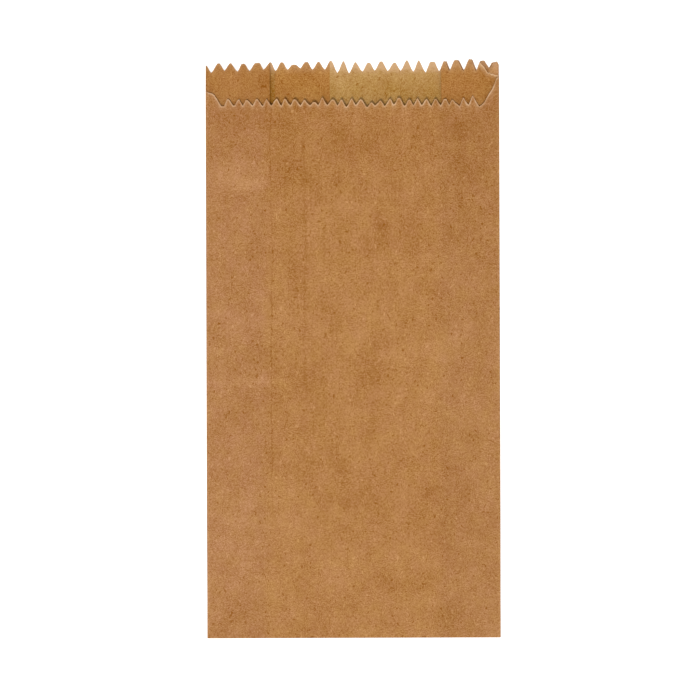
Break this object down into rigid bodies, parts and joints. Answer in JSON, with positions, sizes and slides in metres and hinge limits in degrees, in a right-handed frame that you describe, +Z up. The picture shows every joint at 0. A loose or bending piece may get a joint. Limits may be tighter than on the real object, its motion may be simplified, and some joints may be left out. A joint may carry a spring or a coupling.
{
  "type": "paper lunch bag",
  "caption": "Flat brown paper bag with side gussets, a lapped seam up the back, a folded and glued bottom, and a serrated mouth with a shorter front panel.",
  "frame": {"origin": "on the surface the bag lies on, under the centre of its bounding box", "axes": "+Y from the folded bottom to the mouth, +X to the right of the front panel, +Z up through the plies, out of the front panel"},
  "size_m": [0.15, 0.2944, 0.0066],
  "materials": {
    "kraft_paper": "matte"
  },
  "bodies": {
    "root": {"paper_bag": "kraft_paper"}
  },
  "joints": []
}
